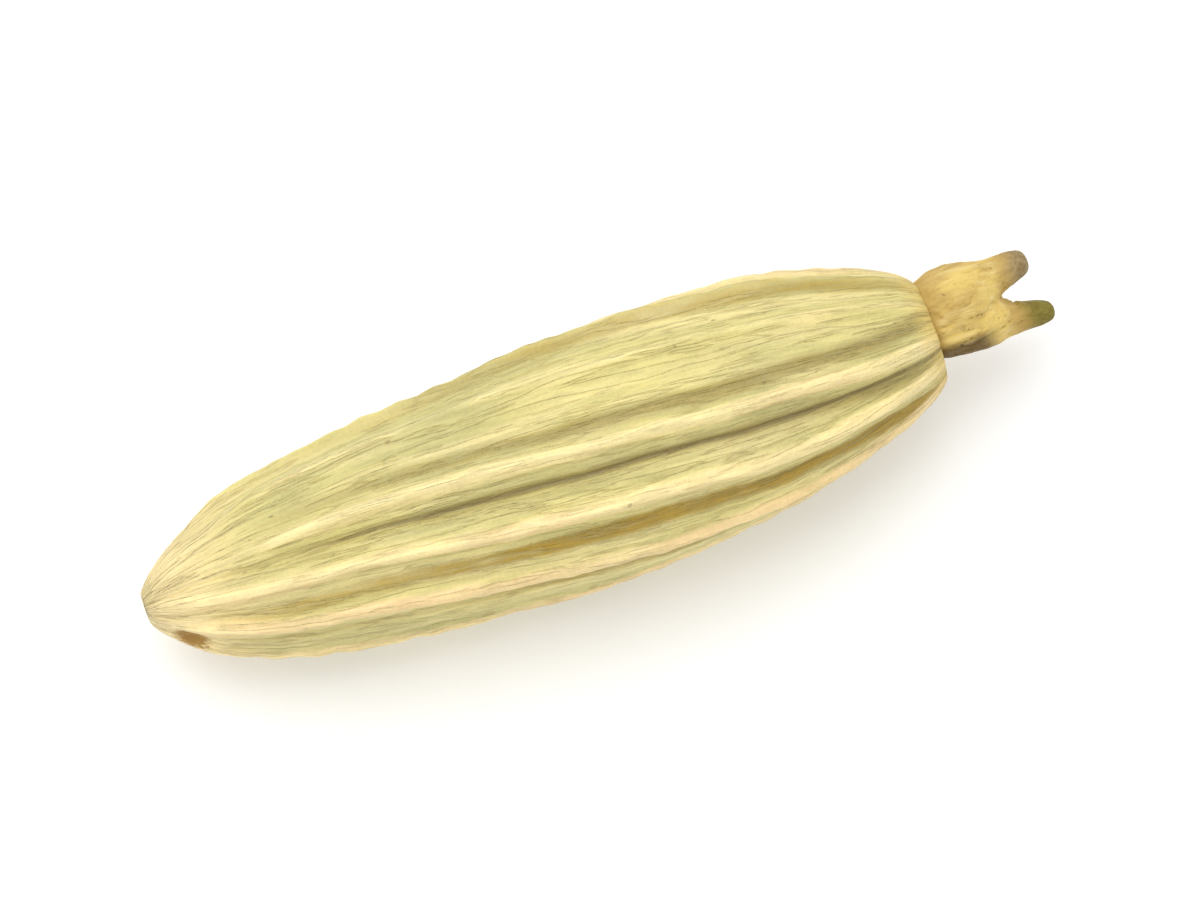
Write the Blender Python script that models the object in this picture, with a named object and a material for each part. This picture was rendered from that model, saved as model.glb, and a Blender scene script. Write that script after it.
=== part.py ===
"""One whole dried fennel seed, lying on its side on a flat surface.

What is called a seed is the small dry fruit of the fennel plant. It is a plump spindle with ten
ribs that wind a little round it, a seam on two sides where its two halves would part, a two-lobed
cushion at the top that carries two short styles, and a blunt base with the scar of its stalk.

Metres, +Z up. The fruit lies along X, with its styles towards +X. The origin is on the surface,
under the middle of its bounding box.
"""

import math

import bmesh
import bpy
from mathutils import Vector

MM = 0.001

# The body, from the scar at its base to the neck under the cushion
BODY_LENGTH = 8.5 * MM
# How far along the body, as a share of its length, and how far its rib crests stand from its axis
BODY_PROFILE = (
    (0.000, 0.15 * MM),
    (0.006, 0.24 * MM),
    (0.02, 0.38 * MM),
    (0.05, 0.60 * MM),
    (0.08, 0.75 * MM),
    (0.12, 0.89 * MM),
    (0.16, 0.98 * MM),
    (0.22, 1.07 * MM),
    (0.32, 1.19 * MM),
    (0.44, 1.28 * MM),
    (0.56, 1.36 * MM),
    (0.66, 1.35 * MM),
    (0.78, 1.26 * MM),
    (0.86, 1.12 * MM),
    (0.92, 0.945 * MM),
    (0.96, 0.79 * MM),
    (0.985, 0.66 * MM),
    (1.00, 0.54 * MM),
)
HEIGHT_TO_WIDTH = 0.95
MID_BODY = 0.5
# The axis bows out to -Y in its middle, and it sinks towards both ends, which makes the underside
# straighter than the back. It also runs a little lower at the base than at the top.
SIDE_BOW = 0.12 * MM
END_SAG = 0.14 * MM
BASE_DIP = 0.22 * MM

# The ribs, as angles round the axis at mid body, from the top towards +Y. They are not quite evenly
# spaced. The first and the last stand about as far to either side of the lowest line where the body
# is widest, and they carry the fruit.
RIB_ANGLES = (-159, -114, -68, -37, -7, 33, 65, 97, 130, 165)
# How far each of them stands out, as a share of the full rib height
RIB_STRENGTHS = (1.0, 0.9, 0.95, 1.0, 1.1, 0.7, 0.9, 1.0, 0.9, 1.0)
RIB_HEIGHT = 0.13 * MM
RIB_HALF_WIDTH = 0.11 * MM
RIB_LEAST_SHARE = 0.35
RIB_FADE = 0.10
# Where along the body each rib rises out of the smooth base
RIB_STARTS = (0.0, 0.0, 0.0, 0.0, 0.10, 0.08, 0.03, 0.0, 0.05, 0.0)
# How far the ribs wind round the fruit, and how much less they wind near its base
TWIST_DEGREES = 36.0
BASE_SLACK_DEGREES = 6.0
BASE_SLACK_REACH = 0.35

# The seam lies in these two furrows, counted by the rib before each of them
SEAM_FURROWS = (3, 8)
SEAM_DEPTH = 0.05 * MM
FURROW_MIDDLE = 0.5

# The base: a round scar where the stalk broke off, sunk a little into the end
SCAR_RADIUS = 0.11 * MM
SCAR_DEPTH = 0.06 * MM

# The cushion's two lobes and their styles: distance past the neck, distance to the side, radius
LOBE_PATH = (
    (-0.35 * MM, 0.12 * MM, 0.30 * MM),
    (-0.05 * MM, 0.15 * MM, 0.36 * MM),
    (0.16 * MM, 0.17 * MM, 0.41 * MM),
    (0.38 * MM, 0.18 * MM, 0.41 * MM),
    (0.58 * MM, 0.20 * MM, 0.37 * MM),
    (0.73 * MM, 0.25 * MM, 0.27 * MM),
    (0.84 * MM, 0.30 * MM, 0.20 * MM),
    (0.96 * MM, 0.33 * MM, 0.175 * MM),
    (1.10 * MM, 0.35 * MM, 0.165 * MM),
    (1.21 * MM, 0.36 * MM, 0.14 * MM),
)
LOBE_SIDES = 16
LOBE_RINGS = 15
TIP_ROUNDNESS = 0.5
# The lobes stand one on each side of the seam. The first style is a little shorter, and the second
# lobe is thinner and sits closer to the middle.
LOBE_ANGLE = 62.0
FIRST_LOBE_LENGTH = 0.90
SECOND_LOBE_SHIFT = 0.15 * MM
SECOND_LOBE_THICKNESS = 0.84

# How much of the two lowest ribs is pressed flat where the fruit rests on them
REST_FLAT_DEPTH = 0.06 * MM

# Fineness of the body's mesh: rings along it, how far they crowd towards its ends, and places
# across each furrow from rib to rib
BODY_RINGS = 36
END_CROWDING = 0.75
FURROW_PLACES = (0.0, 0.10, 0.20, 0.34, FURROW_MIDDLE, 0.66, 0.80, 0.90)

SKIN_COLOUR = (0.73, 0.61, 0.27, 1.0)
SKIN_ROUGHNESS = 0.55


def clear_scene():
    for old in list(bpy.data.objects):
        bpy.data.objects.remove(old, do_unlink=True)


def skin_material():
    material = bpy.data.materials.new("fennel_skin")
    material.use_nodes = True
    shader = material.node_tree.nodes["Principled BSDF"]
    shader.inputs["Base Color"].default_value = SKIN_COLOUR
    shader.inputs["Roughness"].default_value = SKIN_ROUGHNESS
    shader.inputs["Metallic"].default_value = 0.0
    return material


def smooth_step(value):
    """0 below 0, 1 above 1, and an easy curve between."""
    value = min(max(value, 0.0), 1.0)
    return value * value * (3.0 - 2.0 * value)


def slope_at(points, index):
    """The slope of a smooth curve through the points, at one of them."""
    before = points[max(index - 1, 0)]
    after = points[min(index + 1, len(points) - 1)]
    return (after[1] - before[1]) / (after[0] - before[0])


def curve_through(points, place):
    """The height at a place on a smooth curve through (place, height) points."""
    index = 0
    while index < len(points) - 2 and place > points[index + 1][0]:
        index += 1
    start, end = points[index], points[index + 1]
    span = end[0] - start[0]
    t = min(max((place - start[0]) / span, 0.0), 1.0)
    rise_out = slope_at(points, index) * span
    rise_in = slope_at(points, index + 1) * span
    return (
        start[1] * (2 * t**3 - 3 * t**2 + 1)
        + rise_out * (t**3 - 2 * t**2 + t)
        + end[1] * (3 * t**2 - 2 * t**3)
        + rise_in * (t**3 - t**2)
    )


def axis_point(share):
    """The middle of the body at this share of its length."""
    towards_end = ((share - MID_BODY) / MID_BODY) ** 2
    sideways = -SIDE_BOW * (1.0 - towards_end)
    up = -END_SAG * towards_end - BASE_DIP * (MID_BODY - share)
    return Vector((share * BODY_LENGTH, sideways, up))


def rib_angle(rib, share):
    """The angle in radians of a rib; past the last one it counts on from the first."""
    turns, rib = divmod(rib, len(RIB_ANGLES))
    twist = -TWIST_DEGREES * (share - MID_BODY)
    slack = -BASE_SLACK_DEGREES * smooth_step(1.0 - share / BASE_SLACK_REACH)
    return math.radians(RIB_ANGLES[rib] + 360.0 * turns + twist + slack)


def rib_presence(share):
    """How far the ribs stand out along the body: less where they run together at its ends."""
    from_end = min(share, 1.0 - share)
    return RIB_LEAST_SHARE + (1.0 - RIB_LEAST_SHARE) * smooth_step(from_end / RIB_FADE)


def crest_height(rib, share, distance):
    """How much of a rib is there at this distance from its crest, as a share of the rib height."""
    risen = 1.0
    if RIB_STARTS[rib] > 0.0:
        risen = smooth_step((share - RIB_STARTS[rib]) / RIB_FADE)
    return risen * RIB_STRENGTHS[rib] * math.exp(-((distance / RIB_HALF_WIDTH) ** 2))


def skin_radius(share, furrow, place):
    """Distance from the axis to the skin, at a place from 0 to 1 across the furrow after a rib."""
    crest = curve_through(BODY_PROFILE, share)
    arc = rib_angle(furrow + 1, share) - rib_angle(furrow, share)
    height = RIB_HEIGHT * rib_presence(share)
    floor = crest - height
    left = crest_height(furrow, share, place * arc * crest)
    right = crest_height((furrow + 1) % len(RIB_ANGLES), share, (1.0 - place) * arc * crest)
    radius = floor + height * max(left, right)
    if furrow in SEAM_FURROWS and place == FURROW_MIDDLE:
        radius -= SEAM_DEPTH * rib_presence(share)
    return radius


def body_ring(share):
    """The points of one ring round the body."""
    middle = axis_point(share)
    points = []
    for furrow in range(len(RIB_ANGLES)):
        start = rib_angle(furrow, share)
        arc = rib_angle(furrow + 1, share) - start
        for place in FURROW_PLACES:
            angle = start + place * arc
            radius = skin_radius(share, furrow, place)
            across = Vector((0.0, math.sin(angle), HEIGHT_TO_WIDTH * math.cos(angle)))
            points.append(middle + radius * across)
    return points


def ring_shares():
    """Where the rings stand along the body."""
    shares = []
    for ring in range(BODY_RINGS + 1):
        even = ring / BODY_RINGS
        eased = 0.5 - 0.5 * math.cos(math.pi * even)
        shares.append(even + END_CROWDING * (eased - even))
    return shares


def add_ring(mesh, points):
    return [mesh.verts.new(point) for point in points]


def join_rings(mesh, first, second):
    """Faces between two rings that run the same way round."""
    count = len(first)
    for i in range(count):
        j = (i + 1) % count
        mesh.faces.new((first[i], second[i], second[j], first[j]))


def close_ring(mesh, ring, middle):
    """A fan of faces that closes the last ring to a point."""
    tip = mesh.verts.new(middle)
    for i in range(len(ring)):
        mesh.faces.new((ring[i], ring[(i + 1) % len(ring)], tip))


def finish_mesh(mesh, name):
    bmesh.ops.recalc_face_normals(mesh, faces=mesh.faces)
    data = bpy.data.meshes.new(name)
    mesh.to_mesh(data)
    mesh.free()
    piece = bpy.data.objects.new(name, data)
    bpy.context.scene.collection.objects.link(piece)
    return piece


def make_body():
    """The ribbed body, with the sunk scar at its base and a plain end under the cushion."""
    mesh = bmesh.new()
    shares = ring_shares()
    rings = [add_ring(mesh, body_ring(share)) for share in shares]
    for first, second in zip(rings, rings[1:]):
        join_rings(mesh, first, second)
    base = axis_point(0.0)
    shrink = SCAR_RADIUS / BODY_PROFILE[0][1]
    rim = add_ring(mesh, [base + (vert.co - base) * shrink for vert in rings[0]])
    join_rings(mesh, rim, rings[0])
    close_ring(mesh, rim, base + Vector((SCAR_DEPTH, 0.0, 0.0)))
    close_ring(mesh, rings[-1], axis_point(1.0))
    return finish_mesh(mesh, "fennel_fruit")


def lobe_value(column, place):
    """One column of the lobe's path, read from a smooth curve over its points."""
    spread = [(index / (len(LOBE_PATH) - 1), row[column]) for index, row in enumerate(LOBE_PATH)]
    return curve_through(spread, place)


def make_lobe(name, angle, length_share=1.0, shift=0.0, thickness=1.0):
    """One lobe of the cushion with its style, round and closed, sunk into the top of the body."""
    neck = axis_point(1.0)
    side = Vector((0.0, math.sin(angle), math.cos(angle)))
    around = Vector((0.0, math.cos(angle), -math.sin(angle)))
    along = Vector((1.0, 0.0, 0.0))
    mesh = bmesh.new()
    rings = []
    for ring in range(LOBE_RINGS + 1):
        place = ring / LOBE_RINGS
        sideways = lobe_value(1, place) - shift
        middle = neck + along * lobe_value(0, place) * length_share + side * sideways
        radius = lobe_value(2, place) * thickness
        points = []
        for corner in range(LOBE_SIDES):
            turn = math.tau * corner / LOBE_SIDES
            points.append(middle + radius * (math.cos(turn) * side + math.sin(turn) * around))
        rings.append(add_ring(mesh, points))
        if ring == 0:
            close_ring(mesh, rings[0], middle)
    for first, second in zip(rings, rings[1:]):
        join_rings(mesh, first, second)
    round_tip = middle + along * TIP_ROUNDNESS * radius
    close_ring(mesh, rings[-1], round_tip)
    return finish_mesh(mesh, name)


def unite(piece, other):
    """Joins the other piece to this one as one closed solid, and removes it."""
    union = piece.modifiers.new("union", "BOOLEAN")
    union.operation = "UNION"
    union.solver = "EXACT"
    union.object = other
    graph = bpy.context.evaluated_depsgraph_get()
    joined = bpy.data.meshes.new_from_object(piece.evaluated_get(graph))
    piece.modifiers.clear()
    piece.data = joined
    bpy.data.objects.remove(other, do_unlink=True)


def lay_down(piece):
    """Sets the fruit on the surface and presses flat the crests that carry it."""
    points = [vert.co for vert in piece.data.vertices]
    lowest = Vector([min(point[axis] for point in points) for axis in range(3)])
    highest = Vector([max(point[axis] for point in points) for axis in range(3)])
    middle = (lowest + highest) / 2
    shift = Vector((-middle.x, -middle.y, -lowest.z - REST_FLAT_DEPTH))
    for vert in piece.data.vertices:
        vert.co += shift
        vert.co.z = max(vert.co.z, 0.0)


def make_fruit():
    fruit = make_body()
    first_side = math.radians(LOBE_ANGLE)
    second_side = first_side + math.pi
    unite(fruit, make_lobe("first_lobe", first_side, length_share=FIRST_LOBE_LENGTH))
    second_lobe = make_lobe(
        "second_lobe", second_side, shift=SECOND_LOBE_SHIFT, thickness=SECOND_LOBE_THICKNESS
    )
    unite(fruit, second_lobe)
    lay_down(fruit)
    fruit.data.materials.clear()
    fruit.data.materials.append(skin_material())
    fruit.data.shade_smooth()


clear_scene()
make_fruit()
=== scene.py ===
"""The looks of one whole dried fennel seed, lying on a plain pale surface.

The seed is drawn as a fine skin with ten winding ribs, and a tan cushion with two styles at its
top. Both are modelled in millimetres and brought down to metres when they are done.
"""

import math

import bmesh
import bpy
import numpy as np
from mathutils import Matrix, Vector, noise


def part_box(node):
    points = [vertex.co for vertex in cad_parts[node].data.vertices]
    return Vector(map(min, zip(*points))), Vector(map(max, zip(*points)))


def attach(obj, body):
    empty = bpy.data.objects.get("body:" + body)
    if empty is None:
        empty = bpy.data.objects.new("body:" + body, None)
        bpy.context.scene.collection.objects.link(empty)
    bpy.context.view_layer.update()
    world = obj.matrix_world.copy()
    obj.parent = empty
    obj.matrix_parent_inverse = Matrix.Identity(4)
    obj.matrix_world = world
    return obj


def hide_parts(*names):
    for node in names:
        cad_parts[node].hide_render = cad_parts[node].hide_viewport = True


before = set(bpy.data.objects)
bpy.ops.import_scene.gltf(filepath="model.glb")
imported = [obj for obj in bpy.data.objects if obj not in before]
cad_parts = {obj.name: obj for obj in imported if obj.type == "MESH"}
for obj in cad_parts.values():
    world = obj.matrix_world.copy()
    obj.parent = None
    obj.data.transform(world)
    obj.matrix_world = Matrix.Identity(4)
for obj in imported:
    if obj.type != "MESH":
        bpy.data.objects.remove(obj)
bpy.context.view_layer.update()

SEED_NODE = "fennel_fruit"
METRES_PER_MM = 0.001

# The body in millimetres, from the scar at its base to the neck under the cushion
BODY_LENGTH = 8.5
# How far along the body, as a share of its length, and how far its rib crests stand from its axis
BODY_PROFILE = (
    (0.000, 0.15),
    (0.006, 0.24),
    (0.02, 0.38),
    (0.05, 0.60),
    (0.08, 0.75),
    (0.12, 0.89),
    (0.16, 0.98),
    (0.22, 1.07),
    (0.32, 1.19),
    (0.44, 1.28),
    (0.56, 1.36),
    (0.66, 1.35),
    (0.78, 1.26),
    (0.86, 1.12),
    (0.92, 0.945),
    (0.96, 0.79),
    (0.985, 0.66),
    (1.00, 0.54),
)
# The body is a little lower than it is wide
HEIGHT_TO_WIDTH = 0.95
MID_BODY = 0.5
# The axis bows out to -Y in its middle, sinks towards both ends, and runs lower at the base
SIDE_BOW = 0.12
END_SAG = 0.14
BASE_DIP = 0.22

# The ribs, as degrees round the axis at mid body, from the top towards +Y, and how strong each is
RIB_ANGLES = (-159, -114, -68, -37, -7, 33, 65, 97, 130, 165)
RIB_STRENGTHS = (1.0, 0.9, 0.95, 1.0, 1.1, 0.7, 0.9, 1.0, 0.9, 1.0)
# How pale each rib is over the furrows beside it, and how far its cream leans to peach
# Rib 6 is dull and leans to peach as painted shade along the seed's +Y flank
RIB_PALENESS = (0.9, 0.85, 1.15, 1.12, 1.0, 0.35, 0.1, 0.9, 0.85, 0.9)
RIB_PEACH = (0.3, 0.6, 0.5, 0.2, 0.0, 0.0, 0.8, 0.3, 0.1, 0.3)
# How high the ribs are and half their width, how much of their height is left at the very ends, and
# over what share of the body they grow to all of it
RIB_HEIGHT = 0.13
RIB_HALF_WIDTH = 0.092
RIB_LEAST_SHARE = 0.35
RIB_FADE = 0.10
# Where along the body each rib rises out of the smooth base
RIB_STARTS = (0.0, 0.0, 0.0, 0.0, 0.10, 0.08, 0.03, 0.0, 0.05, 0.0)
# How far the ribs wind round the seed, and how much less they wind near its base
TWIST_DEGREES = 36.0
BASE_SLACK_DEGREES = 6.0
BASE_SLACK_REACH = 0.35

# The dark lines beside the ribs, partly where an oil tube shows and partly painted shade below a crest:
# how strong the one before each rib is, and the one after it, how far from the crest they run, and how
# wide they are
# Rib 6's lines, close to its crest, are painted shade along the seed's +Y flank
LINES_BEFORE = (0.8, 0.8, 0.7, 1.12, 0.80, 0.15, 0.66, 0.7, 0.9, 0.7)
LINES_AFTER = (0.4, 0.25, 0.1, 0.0, 0.87, 0.1, 0.80, 0.35, 0.3, 0.5)
LINES_FROM_CRESTS = (0.29, 0.28, 0.26, 0.33, 0.27, 0.27, 0.10, 0.28, 0.30, 0.28)
LINE_HALF_WIDTH = 0.125
# Towards the base the lines are fainter: how faint at the base, and how far along they are full
LINE_LEAST_SHARE = 0.42
LINE_FULL_FROM = 0.75
# How far the lines of each furrow, counted by the rib before it, lean from grey to amber
LINE_WARMTHS = (0.6, 0.9, 1.0, 0.2, 0.25, 0.6, 0.9, 0.5, 0.2, 0.5)
# The narrow groove at the foot of each rib: how far from the crest, how deep it is and how wide, and
# how shallow it is where no dark line runs, as a share of its depth
FOOT_FROM_CREST = 0.28
FOOT_DEPTH = 0.034
FOOT_HALF_WIDTH = 0.055
FOOT_LEAST_SHARE = 0.35

# A small nick at the very base, below the ribs that start there, with painted shadow in brown over it:
# where along the body and at which angle it lies, how far it reaches along and round the body, and how
# deep it is
NICK_SHARE = 0.042
NICK_ANGLE = math.radians(-94.0)
NICK_LENGTH = 0.17
NICK_WIDTH = 0.20
NICK_DEPTH = 0.04

# The seam between the two halves lies in these two furrows, this share of the way across them
SEAM_FURROWS = (3, 8)
SEAM_ACROSS = 0.58
SEAM_DEPTH = 0.05
SEAM_HALF_WIDTH = 0.042

# The soft swelling in the middle of each furrow
BELLY_HEIGHT = 0.014
BELLY_HALF_WIDTH = 0.12

# How far the ribs stray from their even lines, slowly and in small steps, in radians
RIB_STRAY = 0.05
RIB_TREMOR = 0.014
# How much the crests swell and shrink on their way, as shares of the rib height
KNOT_SHARE = 0.22
FINE_KNOT_SHARE = 0.16

# The skin's own relief: slow lumps, long fibres, wrinkles across it and thin sunk lines along it
LUMP_HEIGHT = 0.014
FIBRE_HEIGHT = 0.006
CRINKLE_HEIGHT = 0.012
STRIA_DEPTH = 0.008
# How much of the fine wrinkles is left on a rib's crest
WRINKLES_ON_CREST = 0.2
# Relief fades out towards the axis from this distance, so that the closed ends stay whole
FULL_RELIEF_RADIUS = 0.3

# What the paint is told about each place on the skin
SKIN_MARKS = ("crest", "peach", "dark_line", "warmth", "nick", "seam", "along", "scar")
# The radius at which patterns are read all along the body
MEAN_RADIUS = 1.2
# The seam's crease grows dark from this share of the body, over this share of it
SEAM_FROM = 0.1
SEAM_GROWTH = 0.25

# The round scar at the base where the stalk broke off: it sinks in two steps, and its colour ends a
# little past its rim, over a soft edge, and no further along the body than this
SCAR_RADIUS = 0.11
SCAR_DEPTH = 0.06
SCAR_FIRST_STEP = 0.3
SCAR_COLOUR_RADIUS = 1.15 * SCAR_RADIUS
SCAR_SOFT_EDGE = 0.4 * SCAR_RADIUS
SCAR_REACH = 0.03
# How far in from its rim the hidden top of the body is drawn together
TOP_INSET = 0.15

# The cushion's two lobes and their styles: distance past the neck, distance to the side, radius
LOBE_PATH = (
    (-0.35, 0.12, 0.30),
    (-0.05, 0.15, 0.36),
    (0.16, 0.17, 0.41),
    (0.38, 0.18, 0.41),
    (0.58, 0.20, 0.37),
    (0.73, 0.25, 0.27),
    (0.84, 0.30, 0.20),
    (0.96, 0.33, 0.175),
    (1.10, 0.35, 0.165),
    (1.21, 0.36, 0.14),
)
# How thick the disc is that a lobe is drawn out of, and how its end closes to a blunt point: inset
# and pushed out by these shares of its radius
LOBE_START = 0.02
STYLE_END_INSET = 0.35
STYLE_END_PUSH = 0.45
# The first style is a little shorter, and the second lobe is thinner and closer to the middle
LOBE_ANGLE = math.radians(62.0)
FIRST_LOBE_LENGTH = 0.90
SECOND_LOBE_SHIFT = 0.15
SECOND_LOBE_THICKNESS = 0.84

# The cushion's relief: broad folds, thin creases and small pits, and how they fade on the styles
FOLD_HEIGHT = 0.030
CREASE_DEPTH = 0.022
CREASE_WIDTH = 0.10
PIT_DEPTH = 0.010
STYLES_FROM = 0.8
STYLE_BLEND = 0.3
RELIEF_ON_STYLES = 0.4

# How much of the two lowest ribs is pressed flat where the seed rests on them
REST_FLAT_DEPTH = 0.06

# Fineness of the meshes
BODY_COLUMNS = 80
BODY_RINGS = 58
END_CROWDING = 0.75
BODY_SUBDIVISIONS = 2
LOBE_COLUMNS = 24
LOBE_SUBDIVISIONS = 2
CUSHION_VOXEL = 0.022
# Less than any gap between points, for picking what lies in a plane or on the axis
TINY = 0.001


def smooth_step(value):
    """0 below 0, 1 above 1, and an easy curve between."""
    value = min(max(value, 0.0), 1.0)
    return value * value * (3.0 - 2.0 * value)


def slope_at(points, index):
    """How steeply a curve through the points runs at one of them."""
    before = points[max(index - 1, 0)]
    after = points[min(index + 1, len(points) - 1)]
    return (after[1] - before[1]) / (after[0] - before[0])


def curve_through(points, place):
    """The height at a place on a smooth curve through (place, height) points."""
    index = 0
    while index < len(points) - 2 and place > points[index + 1][0]:
        index += 1
    start, end = points[index], points[index + 1]
    span = end[0] - start[0]
    t = min(max((place - start[0]) / span, 0.0), 1.0)
    rise_out = slope_at(points, index) * span
    rise_in = slope_at(points, index + 1) * span
    return (
        start[1] * (2 * t**3 - 3 * t**2 + 1)
        + rise_out * (t**3 - 2 * t**2 + t)
        + end[1] * (3 * t**2 - 2 * t**3)
        + rise_in * (t**3 - t**2)
    )


def axis_point(share):
    """The middle of the body at this share of its length."""
    towards_end = ((share - MID_BODY) / MID_BODY) ** 2
    sideways = -SIDE_BOW * (1.0 - towards_end)
    up = -END_SAG * towards_end - BASE_DIP * (MID_BODY - share)
    return Vector((share * BODY_LENGTH, sideways, up))


def twist_at(share):
    """How far the ribs have wound round the axis at this share of the body's length."""
    slack = BASE_SLACK_DEGREES * smooth_step(1.0 - share / BASE_SLACK_REACH)
    return math.radians(-TWIST_DEGREES * (share - MID_BODY) - slack)


def risen_at(rib, share):
    """How far a rib has risen out of the smooth base, from 0 to 1."""
    if RIB_STARTS[rib] == 0.0:
        return 1.0
    return smooth_step((share - RIB_STARTS[rib]) / RIB_FADE)


def hump(distance, half_width):
    """1 in the middle of a soft hump, and falling away to 0 on both sides."""
    return math.exp(-((distance / half_width) ** 2))


def noise_at(place, along, across, offset=(0.0, 0.0, 0.0)):
    """Noise from -1 to 1; the higher the two numbers are, the closer its waves along and across."""
    return noise.noise(Vector((along * place.x, across * place.y, across * place.z)) + Vector(offset))


def ring_shares():
    """Where the rings stand along the body."""
    shares = []
    for ring in range(BODY_RINGS + 1):
        even = ring / BODY_RINGS
        eased = 0.5 - 0.5 * math.cos(math.pi * even)
        shares.append(even + END_CROWDING * (eased - even))
    return shares


# Modelling by hand

def select_only(piece):
    bpy.ops.object.select_all(action="DESELECT")
    piece.select_set(True)
    bpy.context.view_layer.objects.active = piece


def start_editing(piece):
    select_only(piece)
    bpy.ops.object.mode_set(mode="EDIT")
    bpy.ops.mesh.select_all(action="DESELECT")


def stop_editing():
    bpy.ops.object.mode_set(mode="OBJECT")


def pick_points(piece, wanted):
    """Selects the points whose places are wanted, and nothing else."""
    bpy.ops.mesh.select_mode(type="VERT")
    bpy.ops.mesh.select_all(action="DESELECT")
    mesh = bmesh.from_edit_mesh(piece.data)
    for point in mesh.verts:
        point.select = wanted(point.co)
    mesh.select_flush(True)
    bmesh.update_edit_mesh(piece.data)


def pick_faces(piece, wanted):
    """Selects the faces whose middles are wanted, and nothing else."""
    bpy.ops.mesh.select_mode(type="FACE")
    bpy.ops.mesh.select_all(action="DESELECT")
    mesh = bmesh.from_edit_mesh(piece.data)
    for face in mesh.faces:
        face.select = wanted(face.calc_center_median())
    mesh.select_flush(True)
    bmesh.update_edit_mesh(piece.data)


def pick_long_edges(body):
    """Selects the edges that run from one end of the uncut body to the other."""
    bpy.ops.mesh.select_mode(type="EDGE")
    bpy.ops.mesh.select_all(action="DESELECT")
    mesh = bmesh.from_edit_mesh(body.data)
    for edge in mesh.edges:
        first, second = edge.verts
        edge.select = abs(first.co.x - second.co.x) > BODY_LENGTH / 2
    bmesh.update_edit_mesh(body.data)


def apply_modifier(piece, kind, **settings):
    select_only(piece)
    modifier = piece.modifiers.new(kind.lower(), kind)
    for name, value in settings.items():
        setattr(modifier, name, value)
    bpy.ops.object.modifier_apply(modifier=modifier.name)


def make_spindle():
    """The plain body: a cylinder cut into rings, each brought to the width the body has there."""
    bpy.ops.mesh.primitive_cylinder_add(
        vertices=BODY_COLUMNS,
        radius=1.0,
        depth=BODY_LENGTH,
        end_fill_type="NGON",
        location=(BODY_LENGTH / 2, 0.0, 0.0),
        rotation=(0.0, math.pi / 2, 0.0),
    )
    body = bpy.context.active_object
    body.name = "seed_body"
    select_only(body)
    bpy.ops.object.transform_apply(location=True, rotation=True, scale=True)
    start_editing(body)
    pick_long_edges(body)
    bpy.ops.mesh.subdivide(number_cuts=BODY_RINGS - 1)
    shares = ring_shares()
    step = BODY_LENGTH / BODY_RINGS
    # The rings crowd towards the ends, so those at the ends move before the ones nearer the middle
    order = sorted(range(BODY_RINGS + 1), key=lambda ring: abs(ring - BODY_RINGS / 2), reverse=True)
    for ring in order:
        even_place = ring * step
        pick_points(body, lambda co: abs(co.x - even_place) < 0.2 * step)
        share = shares[ring]
        middle = axis_point(share)
        radius = curve_through(BODY_PROFILE, share)
        bpy.ops.transform.resize(
            value=(1.0, radius, radius * HEIGHT_TO_WIDTH),
            center_override=(even_place, 0.0, 0.0),
        )
        bpy.ops.transform.translate(value=middle - Vector((even_place, 0.0, 0.0)))
    close_base(body)
    close_top(body)
    stop_editing()
    apply_modifier(body, "SUBSURF", levels=BODY_SUBDIVISIONS, render_levels=BODY_SUBDIVISIONS)
    return body


def close_base(body):
    """Sinks the stalk's scar into the base and closes it."""
    pick_faces(body, lambda middle: middle.x < TINY)
    bpy.ops.mesh.inset(thickness=BODY_PROFILE[0][1] - SCAR_RADIUS)
    bpy.ops.transform.translate(value=(SCAR_FIRST_STEP * SCAR_DEPTH, 0.0, 0.0))
    bpy.ops.mesh.inset(thickness=SCAR_RADIUS / 2)
    bpy.ops.transform.translate(value=((1.0 - SCAR_FIRST_STEP) * SCAR_DEPTH, 0.0, 0.0))
    bpy.ops.mesh.poke()


def close_top(body):
    pick_faces(body, lambda middle: middle.x > BODY_LENGTH - TINY)
    bpy.ops.mesh.inset(thickness=TOP_INSET)
    bpy.ops.mesh.poke()


def furrow_at(angle):
    """The furrow that an angle lies in, how far across it, and how wide it is, in radians."""
    angle = (math.degrees(angle) - RIB_ANGLES[0]) % 360.0 + RIB_ANGLES[0]
    for furrow, start in enumerate(RIB_ANGLES):
        end = RIB_ANGLES[furrow + 1] if furrow + 1 < len(RIB_ANGLES) else RIB_ANGLES[0] + 360.0
        if angle < end:
            return furrow, (angle - start) / (end - start), math.radians(end - start)
    return len(RIB_ANGLES) - 1, 1.0, math.radians(RIB_ANGLES[0] + 360.0 - RIB_ANGLES[-1])


def store_marks(piece, name, values):
    """Keeps one number for each point of the piece, under a name that its paint can read."""
    layer = piece.data.attributes.new(name, "FLOAT", "POINT")
    layer.data.foreach_set("value", values)


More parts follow.
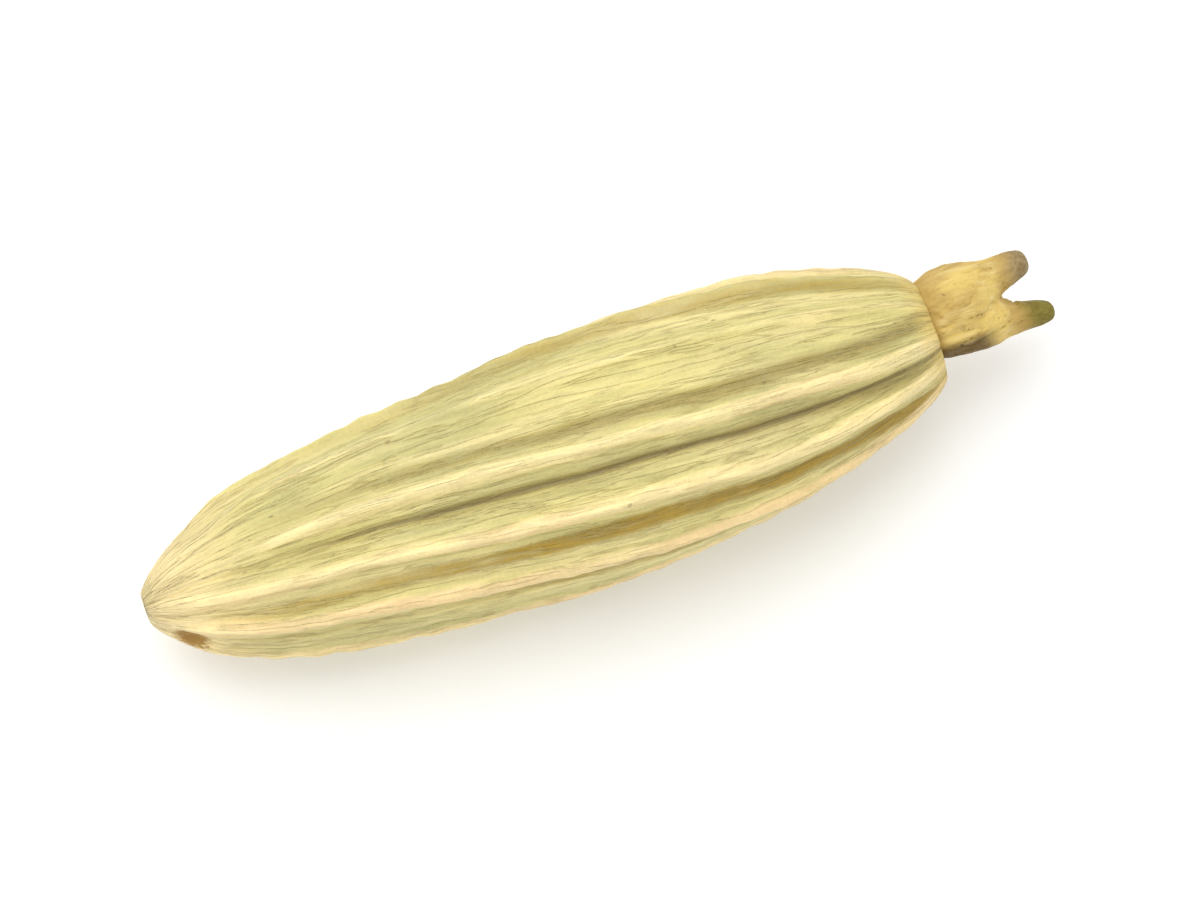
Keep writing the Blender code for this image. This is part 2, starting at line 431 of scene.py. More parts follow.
def ribs_at(angle, share):
    """What the ribs and furrows do at an angle: heights for the relief, and marks for the paint."""
    furrow, across, arc = furrow_at(angle)
    next_rib = (furrow + 1) % len(RIB_ANGLES)
    width = arc * curve_through(BODY_PROFILE, share)
    found = dict.fromkeys(("rib", "crest", "peach", "dark_line", "foot", "split"), 0.0)
    sides = (
        (furrow, LINES_AFTER, width * across),
        (next_rib, LINES_BEFORE, width * (1.0 - across)),
    )
    for rib, lines, distance in sides:
        risen = risen_at(rib, share)
        here = risen * hump(distance, RIB_HALF_WIDTH)
        line = lines[rib] * risen * hump(distance - LINES_FROM_CRESTS[rib], LINE_HALF_WIDTH)
        foot = FOOT_LEAST_SHARE + (1.0 - FOOT_LEAST_SHARE) * lines[rib]
        foot *= risen * hump(distance - FOOT_FROM_CREST, FOOT_HALF_WIDTH)
        if here >= found["crest"]:
            found["peach"] = RIB_PEACH[rib]
        found["rib"] = max(found["rib"], RIB_STRENGTHS[rib] * here)
        found["crest"] = max(found["crest"], RIB_PALENESS[rib] * here)
        found["dark_line"] = max(found["dark_line"], line)
        found["foot"] = max(found["foot"], foot)
    found["dark_line"] *= LINE_LEAST_SHARE + (1.0 - LINE_LEAST_SHARE) * smooth_step(share / LINE_FULL_FROM)
    found["warmth"] = LINE_WARMTHS[furrow]
    found["belly"] = hump(width * (across - 0.5), BELLY_HALF_WIDTH)
    if furrow in SEAM_FURROWS:
        found["split"] = hump(width * (across - SEAM_ACROSS), SEAM_HALF_WIDTH)
    return found


def rib_relief(place, share, ribs):
    """How far the ribs and furrows stand out from the line of the crests, in millimetres."""
    presence = RIB_LEAST_SHARE + (1.0 - RIB_LEAST_SHARE) * smooth_step(min(share, 1.0 - share) / RIB_FADE)
    knots = 1.0 + KNOT_SHARE * noise_at(place, along=1.5, across=1.5, offset=(7.0, 0.0, 0.0))
    knots += FINE_KNOT_SHARE * noise_at(place, along=5.0, across=2.0)
    relief = RIB_HEIGHT * (ribs["rib"] * knots - 1.0) - FOOT_DEPTH * ribs["foot"]
    relief += BELLY_HEIGHT * ribs["belly"] - SEAM_DEPTH * ribs["split"]
    return presence * relief


def skin_wrinkles(place, rib):
    """The skin's own relief in millimetres; its finest wrinkles lie mostly off the ribs."""
    lumps = noise_at(place, along=0.8, across=1.1, offset=(0.0, 3.0, 0.0))
    fibres = noise_at(place, along=1.1, across=9.0)
    striae = max(1.0 - 2.0 * abs(noise_at(place, along=1.26, across=9.1)), 0.0) ** 4
    crinkle = noise_at(place, along=7.0, across=4.0, offset=(0.0, 0.0, 5.0))
    wrinkles = CRINKLE_HEIGHT * crinkle - STRIA_DEPTH * striae
    off_rib = 1.0 - (1.0 - WRINKLES_ON_CREST) * rib
    return LUMP_HEIGHT * lumps + FIBRE_HEIGHT * fibres + off_rib * wrinkles


def nick_at(angle, share, radius):
    """1 in the middle of the nick at the base, and 0 away from it."""
    round_body = math.remainder(angle - NICK_ANGLE, math.tau) * radius
    along_body = (share - NICK_SHARE) * BODY_LENGTH
    return hump(along_body, NICK_LENGTH) * hump(round_body, NICK_WIDTH)


def carve_skin(body):
    """Raises the ribs, sinks the seam and wrinkles the skin, and notes for the paint what is where."""
    count = len(body.data.vertices)
    marks = {name: np.zeros(count, np.float32) for name in SKIN_MARKS}
    skin_place = np.zeros((count, 3), np.float32)
    for index, point in enumerate(body.data.vertices):
        share = min(max(point.co.x / BODY_LENGTH, 0.0), 1.0)
        marks["along"][index] = share
        middle = axis_point(share)
        out = Vector((0.0, point.co.y - middle.y, (point.co.z - middle.z) / HEIGHT_TO_WIDTH))
        radius = out.length
        if share < SCAR_REACH:
            marks["scar"][index] = smooth_step((SCAR_COLOUR_RADIUS - radius) / SCAR_SOFT_EDGE)
        if radius < TINY:
            continue
        angle = math.atan2(out.y, out.z) - twist_at(share)
        place = Vector((share * BODY_LENGTH, MEAN_RADIUS * math.sin(angle), MEAN_RADIUS * math.cos(angle)))
        skin_place[index] = place
        stray = RIB_STRAY * noise_at(place, along=0.7, across=0.9)
        stray += RIB_TREMOR * noise_at(place, along=2.6, across=1.5)
        ribs = ribs_at(angle + stray, share)
        nick = nick_at(angle, share, radius)
        relief = rib_relief(place, share, ribs) - NICK_DEPTH * nick
        relief += skin_wrinkles(place, min(ribs["rib"], 1.0))
        out *= 1.0 + relief * smooth_step(radius / FULL_RELIEF_RADIUS) / radius
        point.co.y = middle.y + out.y
        point.co.z = middle.z + out.z * HEIGHT_TO_WIDTH
        for name in ("crest", "peach", "dark_line", "warmth"):
            marks[name][index] = ribs[name]
        marks["nick"][index] = nick
        marks["seam"][index] = ribs["split"] * smooth_step((share - SEAM_FROM) / SEAM_GROWTH)
    for name, values in marks.items():
        store_marks(body, name, values)
    layer = body.data.attributes.new("skin_place", "FLOAT_VECTOR", "POINT")
    layer.data.foreach_set("vector", skin_place.ravel())


def lobe_axes(angle):
    """Which way a lobe leans out, and the way round it."""
    side = Vector((0.0, math.sin(angle), math.cos(angle)))
    around = Vector((0.0, math.cos(angle), -math.sin(angle)))
    return side, around


def make_lobe(name, angle, length_share=1.0, shift=0.0, thickness=1.0):
    """One lobe with its style, drawn out of a short cylinder ring by ring."""
    side, _ = lobe_axes(angle)
    neck = axis_point(1.0)
    start = neck + Vector((LOBE_PATH[0][0] * length_share, 0.0, 0.0)) + side * (LOBE_PATH[0][1] - shift)
    bpy.ops.mesh.primitive_cylinder_add(
        vertices=LOBE_COLUMNS,
        radius=LOBE_PATH[0][2] * thickness,
        depth=LOBE_START,
        end_fill_type="NGON",
        location=start,
        rotation=(0.0, math.pi / 2, 0.0),
    )
    lobe = bpy.context.active_object
    lobe.name = name
    select_only(lobe)
    bpy.ops.object.transform_apply(location=True, rotation=True, scale=True)
    start_editing(lobe)
    end = start.x + LOBE_START / 2
    pick_faces(lobe, lambda middle: middle.x > end - TINY)
    before = LOBE_PATH[0]
    for row in LOBE_PATH[1:]:
        step = Vector(((row[0] - before[0]) * length_share, 0.0, 0.0)) + side * (row[1] - before[1])
        bpy.ops.mesh.extrude_region_move(TRANSFORM_OT_translate={"value": step})
        grow = row[2] / before[2]
        bpy.ops.transform.resize(value=(1.0, grow, grow))
        before = row
    bpy.ops.mesh.inset(thickness=STYLE_END_INSET * before[2] * thickness)
    bpy.ops.transform.translate(value=(STYLE_END_PUSH * before[2] * thickness, 0.0, 0.0))
    bpy.ops.mesh.poke()
    stop_editing()
    apply_modifier(lobe, "SUBSURF", levels=LOBE_SUBDIVISIONS, render_levels=LOBE_SUBDIVISIONS)
    return lobe


def make_cushion():
    """The two lobes fused into one soft body, with the groove between them left in."""
    cushion = make_lobe("tip_cushion", LOBE_ANGLE, length_share=FIRST_LOBE_LENGTH)
    other = make_lobe(
        "second_lobe", LOBE_ANGLE + math.pi, shift=SECOND_LOBE_SHIFT, thickness=SECOND_LOBE_THICKNESS
    )
    apply_modifier(cushion, "BOOLEAN", operation="UNION", solver="EXACT", object=other)
    bpy.data.objects.remove(other, do_unlink=True)
    apply_modifier(cushion, "REMESH", mode="VOXEL", voxel_size=CUSHION_VOXEL)
    apply_modifier(cushion, "SMOOTH", factor=0.5, iterations=4)
    return cushion


def wrinkle_cushion(cushion):
    """Dries the cushion: folds and creases that run towards the styles, and pits, fading on the styles."""
    neck = axis_point(1.0)
    side, around = lobe_axes(LOBE_ANGLE)
    normals = [vertex.normal.copy() for vertex in cushion.data.vertices]
    past_neck = np.zeros(len(normals), np.float32)
    to_side = np.zeros(len(normals), np.float32)
    for index, (vertex, normal) in enumerate(zip(cushion.data.vertices, normals)):
        local = vertex.co - neck
        past_neck[index] = local.x
        to_side[index] = local.dot(side)
        turn = math.atan2(local.dot(around), local.dot(side))
        round_it = Vector((local.x, math.sin(turn), math.cos(turn)))
        folds = noise_at(round_it, along=1.76, across=4.16)
        winding = noise_at(round_it, along=2.55, across=3.74, offset=(0.0, 0.0, 9.0))
        creases = (1.0 - min(abs(winding) / CREASE_WIDTH, 1.0)) ** 2
        pits = noise_at(local, along=9.0, across=9.0)
        relief = FOLD_HEIGHT * folds - CREASE_DEPTH * creases + PIT_DEPTH * pits
        on_styles = smooth_step((local.x - STYLES_FROM) / STYLE_BLEND)
        vertex.co += normal * relief * (1.0 - (1.0 - RELIEF_ON_STYLES) * on_styles)
    store_marks(cushion, "past_neck", past_neck)
    store_marks(cushion, "to_side", to_side)


def settle(pieces):
    """Brings the pieces from millimetres to metres, over the origin, with the lowest ribs on the floor."""
    places = np.concatenate([np.array([v.co for v in piece.data.vertices]) for piece in pieces])
    middle = (places.min(0) + places.max(0)) / 2
    shift = Vector((-middle[0], -middle[1], -places[:, 2].min() - REST_FLAT_DEPTH))
    to_metres = Matrix.Scale(METRES_PER_MM, 4) @ Matrix.Translation(shift)
    for piece in pieces:
        for point in piece.data.vertices:
            point.co.z = max(point.co.z, -shift.z)
        piece.data.transform(to_metres)
        piece.data.shade_smooth()


body = make_spindle()
carve_skin(body)
cushion = make_cushion()
wrinkle_cushion(cushion)
settle([body, cushion])


# Finishes

STRAW_CREAM = (0.89, 0.745, 0.36, 1.0)
BASE_CREAM = (0.99, 0.785, 0.39, 1.0)
PEACH = (0.85, 0.62, 0.31, 1.0)
YELLOW_GREEN = (0.69, 0.605, 0.225, 1.0)
OLIVE = (0.57, 0.515, 0.205, 1.0)
# The dark lines' amber and grey: partly the oil tubes' own colour and partly painted shade below the ribs
TUBE_AND_SHADE_AMBER = (0.40, 0.25, 0.012, 1.0)
TUBE_AND_SHADE_GREY = (0.39, 0.33, 0.12, 1.0)
SEAM_BROWN = (0.20, 0.14, 0.05, 1.0)
SKIN_SHADE = (0.47, 0.37, 0.13, 1.0)
SCAR_BROWN = (0.27, 0.17, 0.06, 1.0)
NICK_SHADOW_BROWN = (0.37, 0.18, 0.006, 1.0)
# Painted shade on the second lobe's side, also the dark stains on the styles
LEDGE_SHADE_AND_STAIN_BROWN = (0.13, 0.075, 0.012, 1.0)
SPECK_BROWN = (0.30, 0.19, 0.07, 1.0)
TAN = (0.78, 0.57, 0.165, 1.0)
TAN_SHADE = (0.52, 0.34, 0.09, 1.0)
STYLE_GREY = (0.34, 0.25, 0.12, 1.0)
STYLE_OLIVE = (0.205, 0.175, 0.02, 1.0)

# Where along the body the pale base and the tan top fade
PALE_BASE_FADES = (0.02, 0.17)
TAN_TOP_FADES = (0.965, 1.0)
# Where past the neck, in millimetres, the neck's shade and the painted shade on the second lobe's side
# fade out, and where the styles' shaded feet and their dark ends fade in
NECK_SHADE_FADES = (0.0, 0.13)
LEDGE_SHADE_FADES = (0.60, 0.90)
STYLE_FOOT_FADES = (0.90, 1.04)
STYLE_END_FADES = (0.96, 1.22)

# How many grains the finest pattern has in a millimetre
SKIN_GRAINS = 26.0
CUSHION_GRAINS = 22.0
# How high the fine bumps stand, and how deep light sinks into the skin, in millimetres
SKIN_FIBRE_BUMP = 0.032
SKIN_STRIAE_BUMP = 0.008
SKIN_CELL_BUMP = 0.012
CUSHION_FIBRE_BUMP = 0.028
CUSHION_CELL_BUMP = 0.018
LIGHT_DEPTH = 0.25


def add_node(tree, kind, spot, **settings):
    """A new node, drawn at this spot of the node editor."""
    node = tree.nodes.new(kind)
    node.location = spot
    for name, value in settings.items():
        setattr(node, name, value)
    return node


def join(tree, source, target):
    tree.links.new(source, target)


def feed(tree, socket, value):
    """Gives a socket its value, which is another node's output or a plain number or colour."""
    if isinstance(value, bpy.types.NodeSocket):
        join(tree, value, socket)
    else:
        socket.default_value = value


def mix_colour(tree, spot, amount, first, second):
    """A mix of two colours, all first at 0 and all second at 1."""
    node = add_node(tree, "ShaderNodeMix", spot, data_type="RGBA")
    feed(tree, node.inputs[0], amount)
    feed(tree, node.inputs[6], first)
    feed(tree, node.inputs[7], second)
    return node.outputs[2]


def spread(tree, spot, value, between, gives=(0.0, 1.0)):
    """Turns one range of a value into another, with soft ends, and keeps it inside."""
    node = add_node(tree, "ShaderNodeMapRange", spot, interpolation_type="SMOOTHSTEP")
    join(tree, value, node.inputs["Value"])
    node.inputs["From Min"].default_value = between[0]
    node.inputs["From Max"].default_value = between[1]
    node.inputs["To Min"].default_value = gives[0]
    node.inputs["To Max"].default_value = gives[1]
    return node.outputs[0]


def math_node(tree, spot, operation, *values):
    node = add_node(tree, "ShaderNodeMath", spot, operation=operation)
    for socket, value in zip(node.inputs, values):
        feed(tree, socket, value)
    return node.outputs[0]


def ragged_by(tree, spot, pattern, amount):
    """A pattern from 0 to 1 as a number on both sides of 0, to add to what should get a ragged edge."""
    return math_node(tree, spot, "MULTIPLY_ADD", pattern, amount, -amount / 2)


def attribute(tree, spot, name, output="Fac"):
    return add_node(tree, "ShaderNodeAttribute", spot, attribute_name=name).outputs[output]


def stretched_noise(tree, spot, place, stretch, scale, detail=3.0, roughness=0.55):
    """Noise on a place that is first stretched by different amounts along its three ways."""
    mapping = add_node(tree, "ShaderNodeMapping", spot)
    mapping.inputs["Scale"].default_value = stretch
    join(tree, place, mapping.inputs["Vector"])
    texture = add_node(tree, "ShaderNodeTexNoise", (spot[0] + 180, spot[1]))
    texture.inputs["Scale"].default_value = scale
    texture.inputs["Detail"].default_value = detail
    texture.inputs["Roughness"].default_value = roughness
    join(tree, mapping.outputs[0], texture.inputs["Vector"])
    return texture.outputs[0]


def dry_grain_group():
    """Grain of dry plant skin, for a place in millimetres: fibres, dark striae, cells, sparse specks."""
    group = bpy.data.node_groups.new("dry_plant_grain", "ShaderNodeTree")
    group.interface.new_socket("Place", in_out="INPUT", socket_type="NodeSocketVector")
    group.interface.new_socket("Grains", in_out="INPUT", socket_type="NodeSocketFloat")
    for name in ("Fibres", "Striae", "Cells", "Specks"):
        group.interface.new_socket(name, in_out="OUTPUT", socket_type="NodeSocketFloat")
    entry = add_node(group, "NodeGroupInput", (-900, 0))
    leave = add_node(group, "NodeGroupOutput", (500, 0))
    place = entry.outputs["Place"]

    fibres = stretched_noise(group, (-600, 300), place, (0.10, 1.0, 1.0), scale=16.0, detail=4.0)
    join(group, fibres, leave.inputs["Fibres"])

    ridged = stretched_noise(group, (-600, 600), place, (0.07, 1.0, 1.0), scale=9.0, roughness=0.6)
    centred = math_node(group, (-200, 600), "SUBTRACT", ridged, 0.5)
    from_line = math_node(group, (0, 600), "ABSOLUTE", centred)
    striae = spread(group, (200, 600), from_line, between=(0.0, 0.035), gives=(1.0, 0.0))
    join(group, striae, leave.inputs["Striae"])

    cells = add_node(group, "ShaderNodeTexNoise", (-420, 0))
    cells.inputs["Detail"].default_value = 3.0
    join(group, place, cells.inputs["Vector"])
    join(group, entry.outputs["Grains"], cells.inputs["Scale"])
    join(group, cells.outputs[0], leave.inputs["Cells"])

    dots = stretched_noise(group, (-600, -300), place, (0.8, 1.0, 1.0), scale=9.0, detail=1.0)
    join(group, spread(group, (-100, -300), dots, between=(0.765, 0.80)), leave.inputs["Specks"])
    return group


def grain_outputs(tree, spot, grain, place, grains):
    """Puts the shared grain into a material at the material's own fineness."""
    node = add_node(tree, "ShaderNodeGroup", spot, node_tree=grain)
    join(tree, place, node.inputs["Place"])
    node.inputs["Grains"].default_value = grains
    return node.outputs


def bump(tree, spot, height, height_in_mm, strength, below=None):
    """Bumps of this height, laid over the bumps below them."""
    node = add_node(tree, "ShaderNodeBump", spot)
    node.inputs["Distance"].default_value = height_in_mm * METRES_PER_MM
    node.inputs["Strength"].default_value = strength
    join(tree, height, node.inputs["Height"])
    if below is not None:
        join(tree, below, node.inputs["Normal"])
    return node.outputs[0]


def new_finish(name):
    material = bpy.data.materials.new(name)
    material.use_nodes = True
    tree = material.node_tree
    shader = tree.nodes["Principled BSDF"]
    shader.location = (1500, 0)
    tree.nodes["Material Output"].location = (1800, 0)
    return material, tree, shader


def furrow_paint(tree, marks, place, fibres):
    """Olive and yellow-green skin with pale streaks, and dark lines: oil tubes showing through it, and
    painted shade below the ribs.
    """
    patches = stretched_noise(tree, (-1300, 700), place, (0.45, 1.0, 1.0), scale=0.9)
    streaks = stretched_noise(tree, (-1300, 500), place, (0.12, 1.0, 1.0), scale=5.0, detail=4.0)
    green = spread(tree, (-900, 700), patches, between=(0.34, 0.64))
    skin = mix_colour(tree, (-700, 600), green, OLIVE, YELLOW_GREEN)
    pale_streaks = spread(tree, (-900, 500), streaks, between=(0.40, 0.68), gives=(0.0, 0.5))
    skin = mix_colour(tree, (-500, 600), pale_streaks, skin, STRAW_CREAM)

    # The lines' colour, oil tube and painted shade together
    tube_and_shade = mix_colour(tree, (-500, 300), marks["warmth"], TUBE_AND_SHADE_GREY, TUBE_AND_SHADE_AMBER)
    dark_fibres = spread(tree, (-700, 400), fibres, between=(0.42, 0.60), gives=(0.28, 0.0))
    tube_and_shade = mix_colour(tree, (-400, 300), dark_fibres, tube_and_shade, SEAM_BROWN)
    strength = spread(tree, (-900, 250), streaks, between=(0.25, 0.65), gives=(1.02, 0.84))
    line = math_node(tree, (-700, 250), "MULTIPLY", marks["dark_line"], strength)
    fraying = math_node(tree, (-700, 100), "MULTIPLY", fibres, 2.0)
    line = math_node(tree, (-600, 250), "MULTIPLY", line, fraying)
    line_cover = spread(tree, (-500, 150), line, between=(0.12, 0.85), gives=(0.0, 0.92))
    return mix_colour(tree, (-300, 500), line_cover, skin, tube_and_shade)


def rib_paint(tree, marks, place):
    """Straw cream that leans to peach in patches, and on some ribs more than on others."""
    patches = stretched_noise(tree, (-1300, 900), place, (0.35, 1.0, 1.0), scale=1.3, detail=2.0)
    blush = spread(tree, (-900, 900), patches, between=(0.42, 0.68), gives=(0.0, 0.5))
    peach = math_node(tree, (-700, 900), "MULTIPLY_ADD", marks["peach"], 0.8, blush)
    return mix_colour(tree, (-300, 900), peach, STRAW_CREAM, PEACH)


def paint_ends(tree, skin, marks, cells):
    """The pale base with its scar and the painted shadow on its nick, and the tan of the top."""
    pale_base = spread(tree, (100, 200), marks["along"], between=PALE_BASE_FADES, gives=(0.85, 0.0))
    skin = mix_colour(tree, (250, 500), pale_base, skin, BASE_CREAM)
    tan_top = spread(tree, (100, 0), marks["along"], between=TAN_TOP_FADES, gives=(0.0, 0.7))
    skin = mix_colour(tree, (400, 500), tan_top, skin, TAN)
    skin = mix_colour(tree, (550, 500), marks["scar"], skin, SCAR_BROWN)
    # Painted shadow: brown over the nick, with a torn edge
    torn = ragged_by(tree, (200, -150), cells, 0.9)
    nick_shadow_edge = math_node(tree, (300, -150), "ADD", marks["nick"], torn)
    nick = spread(tree, (400, -150), nick_shadow_edge, between=(0.24, 0.66), gives=(0.0, 0.95))
    return mix_colour(tree, (620, 500), nick, skin, NICK_SHADOW_BROWN)


def paint_grain(tree, skin, detail, crest_edge):
    """Dark striae, mostly between the ribs, and sparse brown specks."""
    off_rib = spread(tree, (300, 350), crest_edge, between=(0.1, 0.8), gives=(0.50, 0.20))
    striae = math_node(tree, (500, 350), "MULTIPLY", detail["Striae"], off_rib)
    skin = mix_colour(tree, (660, 500), striae, skin, SKIN_SHADE)
    specks = math_node(tree, (400, 250), "MULTIPLY", detail["Specks"], 0.55)
    return mix_colour(tree, (700, 500), specks, skin, SPECK_BROWN)


def tint(tree, skin, fibres, cells):
    """Makes the colour a little lighter and darker from fibre to fibre and from cell to cell."""
    by_fibre = spread(tree, (850, 350), fibres, between=(0.30, 0.70), gives=(0.94, 1.15))
    by_cell = spread(tree, (850, 200), cells, between=(0.30, 0.70), gives=(0.96, 1.04))
    tinted = add_node(tree, "ShaderNodeVectorMath", (1050, 500), operation="SCALE")
    join(tree, skin, tinted.inputs[0])
    join(tree, math_node(tree, (950, 250), "MULTIPLY", by_fibre, by_cell), tinted.inputs["Scale"])
    return tinted.outputs[0]


def skin_finish(grain):
    """Cream ribs over olive and yellow-green furrows, smooth on the ribs and duller between them."""
    material, tree, shader = new_finish("fennel_skin")
    marks = {}
    for row, name in enumerate(SKIN_MARKS):
        marks[name] = attribute(tree, (-1600, 900 - 200 * row), name)
    place = attribute(tree, (-1600, -700), "skin_place", "Vector")
    detail = grain_outputs(tree, (-1300, -300), grain, place, SKIN_GRAINS)
    fibres = detail["Fibres"]
    cells = detail["Cells"]

    ragged = ragged_by(tree, (-700, 50), fibres, 0.60)
    crest_edge = math_node(tree, (-300, 50), "ADD", marks["crest"], ragged)
    on_rib = spread(tree, (-100, 50), crest_edge, between=(0.20, 0.70))
    furrows = furrow_paint(tree, marks, place, fibres)
    skin = mix_colour(tree, (100, 500), on_rib, furrows, rib_paint(tree, marks, place))
    skin = paint_ends(tree, skin, marks, cells)
    skin = paint_grain(tree, skin, detail, crest_edge)
    seam_edge = math_node(tree, (450, 150), "ADD", marks["seam"], ragged)
    seam = spread(tree, (550, 250), seam_edge, between=(0.3, 0.85), gives=(0.0, 0.55))
    skin = mix_colour(tree, (850, 500), seam, skin, SEAM_BROWN)
    join(tree, tint(tree, skin, fibres, cells), shader.inputs["Base Color"])

    roughness = spread(tree, (850, -100), crest_edge, between=(0.1, 0.9), gives=(0.54, 0.36))
    uneven = ragged_by(tree, (1050, -100), cells, 0.16)
    join(tree, math_node(tree, (1250, -100), "ADD", roughness, uneven), shader.inputs["Roughness"])

    fibre_bump = bump(tree, (900, -500), fibres, SKIN_FIBRE_BUMP, strength=1.0)
    striae_bump = bump(tree, (1020, -700), detail["Striae"], SKIN_STRIAE_BUMP, 0.8, fibre_bump)
    striae_bump.node.invert = True
    cell_bump = bump(tree, (1150, -500), cells, SKIN_CELL_BUMP, 0.6, striae_bump)
    join(tree, cell_bump, shader.inputs["Normal"])
    shader.inputs["Specular IOR Level"].default_value = 0.5
    shader.inputs["Subsurface Weight"].default_value = 0.12
    shader.inputs["Subsurface Radius"].default_value = (1.0, 0.7, 0.35)
    shader.inputs["Subsurface Scale"].default_value = LIGHT_DEPTH * METRES_PER_MM
    return material


def ledge_shade_cover(tree, to_side, wavy_height, fibres):
    """How much painted shade lies on the side of the second lobe, from its neck up to its style, with a
    ragged edge.
    """
    ragged_side = math_node(tree, (-250, 600), "MULTIPLY_ADD", fibres, 0.14, to_side)
    second_side = spread(tree, (-100, 600), ragged_side, between=(-0.14, 0.0), gives=(1.0, 0.0))
    below_style = spread(tree, (-100, 800), wavy_height, between=LEDGE_SHADE_FADES, gives=(0.95, 0.0))
    return math_node(tree, (100, 600), "MULTIPLY", second_side, below_style)


def style_paint(tree, to_side, cells):
    """Grey-brown on the first style and olive on the second, both with dark stains."""
    first_style = spread(tree, (-100, 1000), to_side, between=(0.0, 0.1))
    paint = mix_colour(tree, (200, 800), first_style, STYLE_OLIVE, STYLE_GREY)
    stains = spread(tree, (0, 900), cells, between=(0.38, 0.62), gives=(0.0, 0.45))
    return mix_colour(tree, (300, 800), stains, paint, LEDGE_SHADE_AND_STAIN_BROWN)


def cushion_finish(grain):
    """Blotchy tan, drier than the skin, with painted shade on the second lobe's side, and dark style ends.
    """
    material, tree, shader = new_finish("tan_cushion")
    in_mm = add_node(tree, "ShaderNodeMapping", (-1200, 0))
    in_mm.inputs["Scale"].default_value = (1.0 / METRES_PER_MM,) * 3
    coordinates = add_node(tree, "ShaderNodeTexCoord", (-1400, 0))
    join(tree, coordinates.outputs["Object"], in_mm.inputs["Vector"])
    place = in_mm.outputs[0]
    detail = grain_outputs(tree, (-900, -300), grain, place, CUSHION_GRAINS)
    fibres = detail["Fibres"]
    cells = detail["Cells"]
    past_neck = attribute(tree, (-900, 300), "past_neck")
    to_side = attribute(tree, (-900, 500), "to_side")
    blotches = stretched_noise(tree, (-900, 100), place, (0.6, 1.0, 1.0), scale=2.6, detail=4.0)
    wavy_height = math_node(tree, (-100, 0), "MULTIPLY_ADD", blotches, 0.30, past_neck)

    lit = spread(tree, (-500, 100), blotches, between=(0.36, 0.66))
    skin = mix_colour(tree, (-300, 300), lit, TAN_SHADE, TAN)
    pale_fibres = spread(tree, (-500, -100), fibres, between=(0.45, 0.75), gives=(0.0, 0.5))
    skin = mix_colour(tree, (-100, 300), pale_fibres, skin, STRAW_CREAM)
    neck_shade = spread(tree, (-300, 0), past_neck, between=NECK_SHADE_FADES, gives=(0.8, 0.0))
    skin = mix_colour(tree, (100, 300), neck_shade, skin, TAN_SHADE)
    # Painted shade: dark brown on the steep side of the second lobe
    ledge_shade = ledge_shade_cover(tree, to_side, wavy_height, fibres)
    skin = mix_colour(tree, (200, 300), ledge_shade, skin, LEDGE_SHADE_AND_STAIN_BROWN)
    style_foot = spread(tree, (100, 0), wavy_height, between=STYLE_FOOT_FADES, gives=(0.0, 0.75))
    skin = mix_colour(tree, (300, 300), style_foot, skin, TAN_SHADE)
    style_end = spread(tree, (100, -150), wavy_height, between=STYLE_END_FADES, gives=(0.0, 0.95))
    skin = mix_colour(tree, (400, 300), style_end, skin, style_paint(tree, to_side, cells))
    specks = math_node(tree, (300, 0), "MULTIPLY", detail["Specks"], 0.6)
    skin = mix_colour(tree, (500, 300), specks, skin, SPECK_BROWN)
    join(tree, skin, shader.inputs["Base Color"])

    roughness = spread(tree, (800, -100), cells, between=(0.3, 0.7), gives=(0.55, 0.75))
    join(tree, roughness, shader.inputs["Roughness"])
    fibre_bump = bump(tree, (900, -500), fibres, CUSHION_FIBRE_BUMP, strength=0.9)
    cell_bump = bump(tree, (1150, -500), cells, CUSHION_CELL_BUMP, 0.8, fibre_bump)
    join(tree, cell_bump, shader.inputs["Normal"])
    shader.inputs["Specular IOR Level"].default_value = 0.35
    return material


def give_finish(piece, material):
    piece.data.materials.clear()
    piece.data.materials.append(material)


grain = dry_grain_group()
give_finish(body, skin_finish(grain))
give_finish(cushion, cushion_finish(grain))

for piece in (body, cushion):
    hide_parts(SEED_NODE)
    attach(piece, "root")


# The surface, the light and the camera

# Azimuths are counted from the front, -Y, towards +X; all is in degrees and metres here
VIEW_AZIMUTH = -19.8
VIEW_ELEVATION = 74.5
VIEW_WIDTH = 0.0122
LENS_MM = 400.0
SENSOR_MM = 36.0
WINDOW_AZIMUTH = 195.0
WINDOW_ELEVATION = 71.0
WINDOW_DISTANCE = 0.16
WINDOW_SIZE = 0.14
WINDOW_POWER = 0.145
WORLD_STRENGTH = 0.76
FLOOR_SIZE = 0.6
FLOOR_DROP = 0.00001
FLOOR_DARKER = (0.83, 0.83, 0.83, 1.0)
FLOOR_PALER = (0.87, 0.87, 0.87, 1.0)
FLOOR_GLOW = 0.20
WHITE = (1.0, 1.0, 1.0, 1.0)


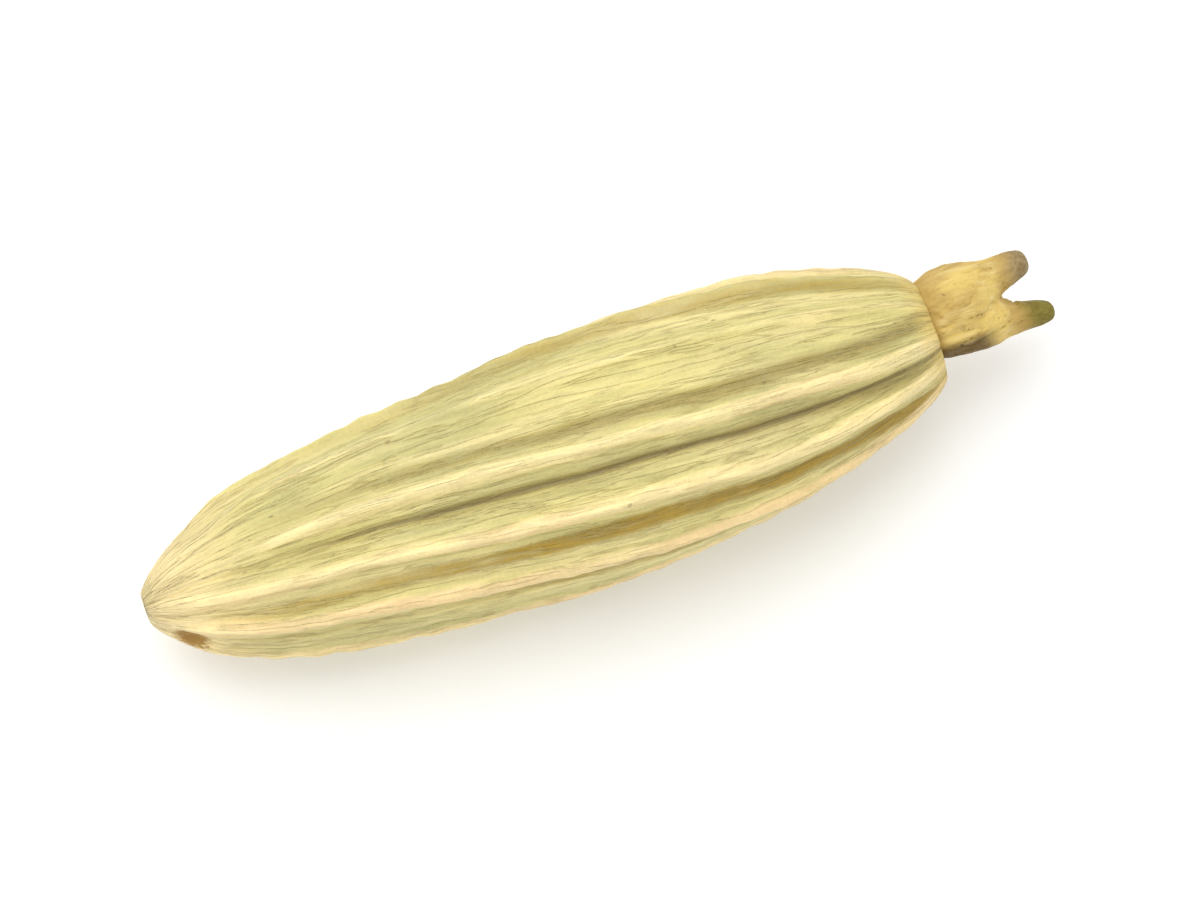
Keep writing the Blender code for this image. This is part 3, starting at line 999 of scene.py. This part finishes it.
def make_floor():
    """Pale matt paper with a fine tooth, which glows a little so that it comes out white."""
    bpy.ops.object.select_all(action="DESELECT")
    bpy.ops.mesh.primitive_plane_add(size=FLOOR_SIZE, location=(0.0, 0.0, -FLOOR_DROP))
    floor = bpy.context.active_object
    floor.name = "pale_floor"
    material, tree, shader = new_finish("pale_paper")
    place = add_node(tree, "ShaderNodeTexCoord", (-600, 0)).outputs["Object"]
    tooth = stretched_noise(tree, (-400, 0), place, (1.0, 1.0, 1.0), scale=900.0, detail=2.0)
    join(tree, mix_colour(tree, (0, 200), tooth, FLOOR_DARKER, FLOOR_PALER), shader.inputs["Base Color"])
    shader.inputs["Roughness"].default_value = 0.8
    shader.inputs["Specular IOR Level"].default_value = 0.1
    shader.inputs["Emission Color"].default_value = WHITE
    shader.inputs["Emission Strength"].default_value = FLOOR_GLOW
    floor.data.materials.append(material)


def place_facing(thing, target, azimuth, elevation, distance):
    """Puts a light or the camera at this distance from its target, turned towards it."""
    turn = math.radians(azimuth)
    rise = math.radians(elevation)
    back = Vector((math.sin(turn) * math.cos(rise), -math.cos(turn) * math.cos(rise), math.sin(rise)))
    thing.location = target + back * distance
    thing.rotation_euler = back.to_track_quat("Z", "Y").to_euler()


def make_window():
    """The one soft square light, high up behind the seed."""
    data = bpy.data.lights.new("window", "AREA")
    data.size = WINDOW_SIZE
    data.energy = WINDOW_POWER
    window = bpy.data.objects.new("window", data)
    bpy.context.scene.collection.objects.link(window)
    place_facing(window, Vector(), WINDOW_AZIMUTH, WINDOW_ELEVATION, WINDOW_DISTANCE)


def make_camera():
    """A long lens that looks down on the middle of the seed."""
    data = bpy.data.cameras.new("camera")
    data.lens = LENS_MM
    data.sensor_width = SENSOR_MM
    data.clip_start = 0.001
    data.clip_end = 5.0
    camera = bpy.data.objects.new("camera", data)
    bpy.context.scene.collection.objects.link(camera)
    seed_low, seed_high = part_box(SEED_NODE)
    middle = (seed_low + seed_high) / 2
    place_facing(camera, middle, VIEW_AZIMUTH, VIEW_ELEVATION, VIEW_WIDTH * LENS_MM / SENSOR_MM)
    bpy.context.scene.camera = camera


def make_world():
    world = bpy.data.worlds.new("soft_studio")
    world.use_nodes = True
    background = world.node_tree.nodes["Background"]
    background.inputs["Color"].default_value = WHITE
    background.inputs["Strength"].default_value = WORLD_STRENGTH
    bpy.context.scene.world = world


make_floor()
make_world()
make_window()
make_camera()
bpy.context.scene.view_settings.view_transform = "Standard"
